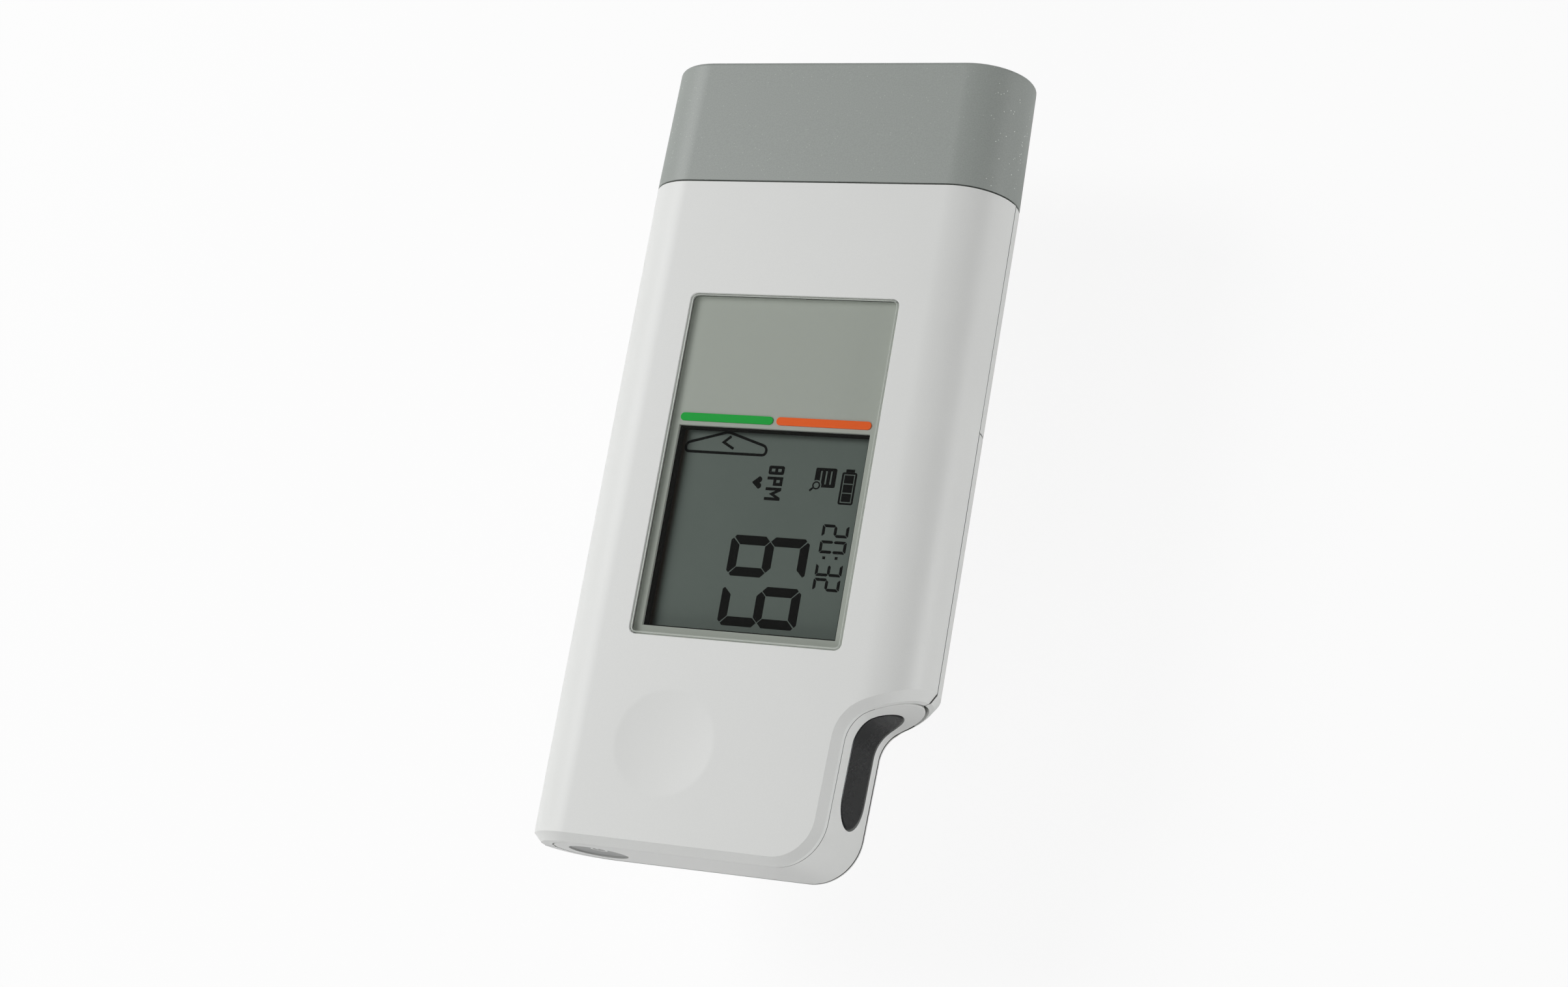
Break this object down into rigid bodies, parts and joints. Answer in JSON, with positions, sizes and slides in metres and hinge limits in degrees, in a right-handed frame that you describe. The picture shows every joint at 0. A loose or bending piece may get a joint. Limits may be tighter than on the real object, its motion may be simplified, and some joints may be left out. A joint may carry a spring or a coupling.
{
  "type": "mobile ecg device",
  "caption": "Pocket ECG recorder: flat white case with a display window, a black finger electrode in a side recess, a power button and a grey pull-off cap over a chest electrode.",
  "frame": {"origin": "middle of the device at the plane of its flat back", "axes": "+X to the right seen from the display side, +Y from the power button end to the cap, +Z out of the display"},
  "size_m": [0.0588, 0.1224, 0.0172],
  "materials": {
    "white_plastic": "fine satin white housing plastic",
    "grey_plastic": "satin grey-green cap plastic with a fine sparkle",
    "inner_plastic": "matt light grey inner plastic",
    "black_plastic": "semi-matt black plastic",
    "button_plastic": "satin mid-grey button plastic",
    "finger_pad": "semi-matt black conductive rubber",
    "clear_window": "clear polished window",
    "mask_print": "grey-green printed mask",
    "green_print": "green printed bar",
    "orange_print": "orange printed bar",
    "lcd_glass": "dark grey-green display glass with black segments",
    "silver_film": "silver film and tin screen",
    "elastomer": "pink zebra elastomer",
    "board": "green solder mask",
    "chip_black": "matt black moulding",
    "steel": "bright nickel-plated steel",
    "flex": "amber flat lead",
    "cell_wrap": "plain blue cell sleeve"
  },
  "bodies": {
    "housing": {"amplifier_chip": "chip_black", "battery_bridge_left": "steel", "battery_bridge_right": "steel", "battery_cell_1": "cell_wrap", "battery_cell_2": "cell_wrap", "battery_cell_3": "cell_wrap", "battery_spring_1": "steel", "battery_spring_2": "steel", "battery_spring_3": "steel", "battery_terminal_negative": "steel", "battery_terminal_positive": "steel", "battery_tray": "inner_plastic", "buzzer": "chip_black", "chest_contact": "steel", "chest_electrode": "steel", "clock_crystal": "chip_black", "display_mask": "mask_print", "display_window": "clear_window", "electrode_flex": "flex", "electrode_nose": "inner_plastic", "finger_contact": "steel", "finger_electrode": "finger_pad", "front_shell": "white_plastic", "lcd_connector_lower": "elastomer", "lcd_connector_upper": "elastomer", "lcd_frame": "black_plastic", "lcd_glass": "lcd_glass", "lcd_reflector": "silver_film", "main_board": "board", "processor_chip": "chip_black", "radio_module": "silver_film", "rear_shell": "white_plastic", "shell_screw_1": "steel", "shell_screw_2": "steel", "shell_screw_3": "steel", "shell_screw_4": "steel", "side_band": "white_plastic", "tact_switch_body": "black_plastic", "zone_bar_green": "green_print", "zone_bar_orange": "orange_print"},
    "end_cap": {"end_cap": "grey_plastic"},
    "battery_door": {"battery_door": "white_plastic"},
    "power_button": {"power_button": "button_plastic"},
    "switch_plunger": {"tact_switch_plunger": "steel"}
  },
  "joints": [
    {"name": "cap_slide", "type": "slide", "parent": "housing", "child": "end_cap", "axis": [0, 1, 0], "range_m": [0, 0.022]},
    {"name": "battery_door_lift", "type": "slide", "parent": "housing", "child": "battery_door", "axis": [0, 0, -1], "range_m": [0, 0.02]},
    {"name": "power_button_press", "type": "slide", "parent": "housing", "child": "power_button", "axis": [0, 1, 0], "range_m": [0, 0.0005], "stiffness_N_per_m": 600},
    {"name": "switch_plunger_slide", "type": "slide", "parent": "housing", "child": "switch_plunger", "axis": [0, 1, 0], "range_m": [0, 0.0005], "stiffness_N_per_m": 600}
  ],
  "couplings": [
    {"joint": "switch_plunger_slide", "follows": "power_button_press", "ratio": 1}
  ]
}
